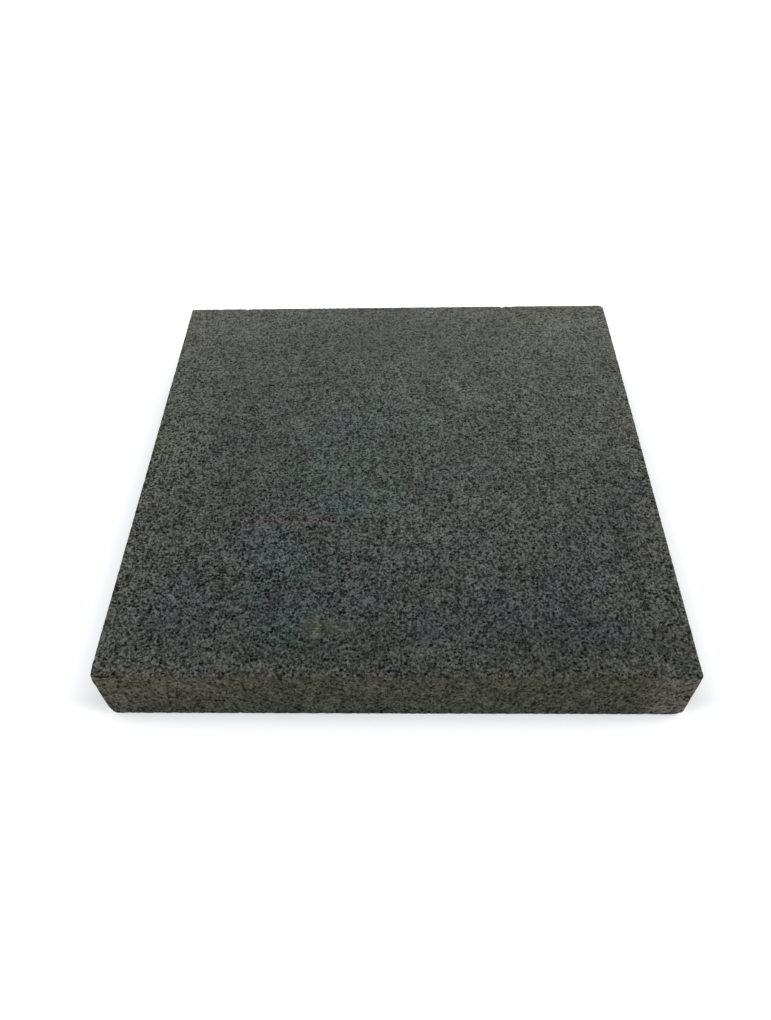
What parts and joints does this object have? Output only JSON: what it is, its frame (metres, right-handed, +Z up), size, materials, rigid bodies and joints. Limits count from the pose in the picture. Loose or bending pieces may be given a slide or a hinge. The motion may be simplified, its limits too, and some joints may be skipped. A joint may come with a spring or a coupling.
{
  "type": "bluestone paver",
  "caption": "Square sawn slab of dark speckled basalt with worn arrises and knocked lower corners, laid flat as paving underfoot.",
  "frame": {"origin": "middle of the bed face, on the floor that the paver lies on", "axes": "+Z up out of the top face, +X to the right and +Y to the back as seen from the front face"},
  "size_m": [0.3, 0.3, 0.04],
  "materials": {
    "bluestone": "matte"
  },
  "bodies": {
    "root": {"paver": "bluestone"}
  },
  "joints": []
}
